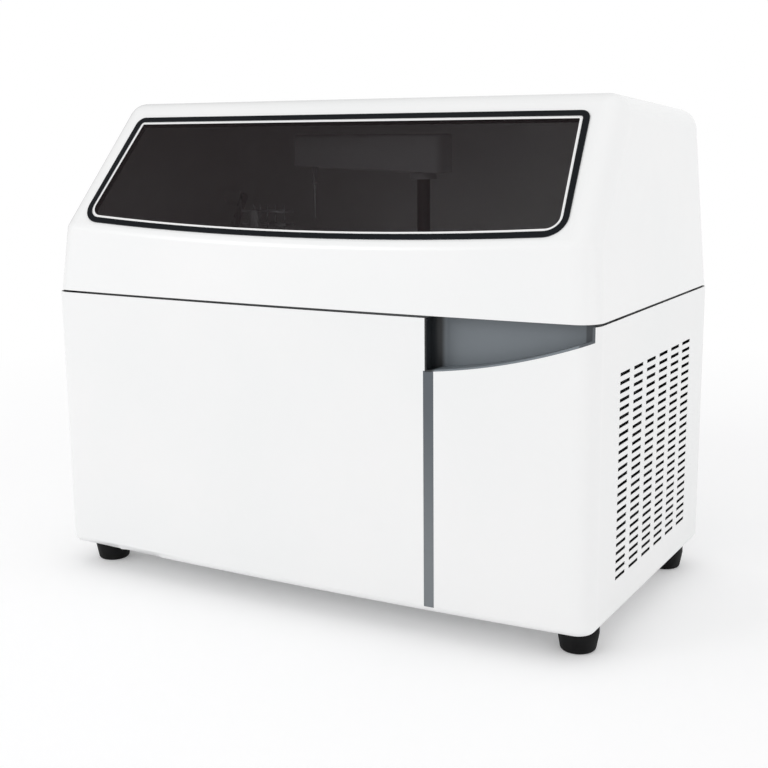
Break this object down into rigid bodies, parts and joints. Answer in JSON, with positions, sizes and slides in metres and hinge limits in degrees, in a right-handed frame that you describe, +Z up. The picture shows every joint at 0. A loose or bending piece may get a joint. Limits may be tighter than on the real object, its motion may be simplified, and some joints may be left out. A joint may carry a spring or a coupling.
{
  "type": "urine analyzer",
  "caption": "Bench urine analyser: white casing on rubber feet, hinged cover with a tinted window, probe arm, sample carousel and cuvette ring.",
  "frame": {"origin": "bottom centre of the box round the whole analyser, at rest with its cover shut", "axes": "+X right along the front, +Y from the front to the back, +Z up"},
  "size_m": [0.69, 0.409, 0.5682],
  "materials": {
    "white_paint": "satin",
    "white_gloss": "gloss",
    "stripe_white": "gloss",
    "grey_plastic": "satin",
    "black_gloss": "gloss",
    "smoked": "gloss",
    "black_rubber": "matte",
    "steel": "satin",
    "sheet_metal": "satin",
    "light_metal": "satin",
    "dark_plastic": "satin",
    "pale_plastic": "satin",
    "clear": "gloss",
    "board_green": "satin"
  },
  "bodies": {
    "chassis": {"base_casing": "white_paint", "grip_liner": "grey_plastic", "front_strip": "grey_plastic", "rear_panel": "white_paint", "rear_screws": "steel", "bottom_pan": "sheet_metal", "rubber_feet": "black_rubber", "foot_screws": "steel", "deck_plate": "sheet_metal", "deck_rails": "sheet_metal", "cover_buffers": "black_rubber", "casing_hinges": "steel", "stay_brackets": "steel", "post_bush": "dark_plastic", "guide_rods": "steel", "drive_frame": "sheet_metal", "lift_motor": "dark_plastic", "wash_well": "steel", "sample_bowl": "sheet_metal", "sample_motor": "dark_plastic", "incubator_bowl": "sheet_metal", "rotor_motor": "dark_plastic", "wash_post": "steel", "lamp_house": "grey_plastic", "syringe_stand": "sheet_metal", "syringe_barrel": "clear", "pump_body": "dark_plastic", "main_board": "board_green", "power_supply": "sheet_metal", "fan_frame": "dark_plastic", "fan_guard": "steel", "power_inlet": "dark_plastic", "power_switch": "dark_plastic", "fluid_fittings": "pale_plastic"},
    "cover": {"cover_shell": "white_gloss", "window_border": "black_gloss", "window_stripe": "stripe_white", "window_pane": "smoked", "cover_hinges": "steel", "cover_screws": "steel", "stay_pivots": "steel"},
    "stay_left": {"left_stay": "steel"},
    "stay_right": {"right_stay": "steel"},
    "arm_lift": {"lift_carriage": "light_metal", "lift_spindle": "steel", "swing_motor": "dark_plastic"},
    "probe_arm": {"arm_post": "dark_plastic", "arm_plate": "light_metal", "arm_cover": "grey_plastic", "probe_guide": "dark_plastic", "probe": "steel"},
    "carousel": {"sample_carousel": "pale_plastic"},
    "cuvette_wheel": {"cuvette_ring": "clear", "cuvette_rotor": "light_metal"},
    "wash_lift": {"wash_head": "light_metal", "wash_needles": "steel"},
    "cooling_fan": {"fan_rotor": "dark_plastic"},
    "switch_rocker": {"power_rocker": "dark_plastic"},
    "plunger": {"syringe_plunger": "dark_plastic"},
    "pump_wheel": {"pump_rotor": "pale_plastic"}
  },
  "joints": [
    {"name": "cover_hinge", "type": "hinge", "parent": "chassis", "child": "cover", "pos_m": [0, 0.1995, 0.34725], "axis": [-1, 0, 0], "range_deg": [0, 60]},
    {"name": "left_stay_pivot", "type": "hinge", "parent": "cover", "child": "stay_left", "pos_m": [-0.306, 0.14515, 0.44289], "axis": [-1, 0, 0], "range_deg": [-30, 0]},
    {"name": "right_stay_pivot", "type": "hinge", "parent": "cover", "child": "stay_right", "pos_m": [0.306, 0.14515, 0.44289], "axis": [-1, 0, 0], "range_deg": [-30, 0]},
    {"name": "arm_lift_slide", "type": "slide", "parent": "chassis", "child": "arm_lift", "axis": [0, 0, 1], "range_m": [-0.09, 0]},
    {"name": "arm_swing", "type": "hinge", "parent": "arm_lift", "child": "probe_arm", "pos_m": [0.071, -0.0255, 0.485], "axis": [0, 0, 1], "range_deg": [-133.7, 0]},
    {"name": "carousel_turn", "type": "hinge", "parent": "chassis", "child": "carousel", "pos_m": [0.196, -0.0055, 0.339], "axis": [0, 0, 1], "continuous": true},
    {"name": "cuvette_wheel_turn", "type": "hinge", "parent": "chassis", "child": "cuvette_wheel", "pos_m": [-0.142, 0.07251, 0.339], "axis": [0, 0, 1], "continuous": true},
    {"name": "wash_head_slide", "type": "slide", "parent": "chassis", "child": "wash_lift", "axis": [0, 0, 1], "range_m": [-0.026, 0]},
    {"name": "fan_spin", "type": "hinge", "parent": "chassis", "child": "cooling_fan", "pos_m": [0.15, 0.1775, 0.141], "axis": [0, 1, 0], "continuous": true},
    {"name": "rocker_tilt", "type": "hinge", "parent": "chassis", "child": "switch_rocker", "pos_m": [-0.25, 0.187, 0.143], "axis": [1, 0, 0], "range_deg": [0, 16]},
    {"name": "plunger_stroke", "type": "slide", "parent": "chassis", "child": "plunger", "axis": [0, 0, 1], "range_m": [-0.04, 0]},
    {"name": "pump_spin", "type": "hinge", "parent": "chassis", "child": "pump_wheel", "pos_m": [-0.15, -0.1255, 0.096], "axis": [0, 1, 0], "continuous": true}
  ],
  "couplings": [
    {"joint": "left_stay_pivot", "follows": "cover_hinge", "ratio": -0.5},
    {"joint": "right_stay_pivot", "follows": "cover_hinge", "ratio": -0.5}
  ]
}
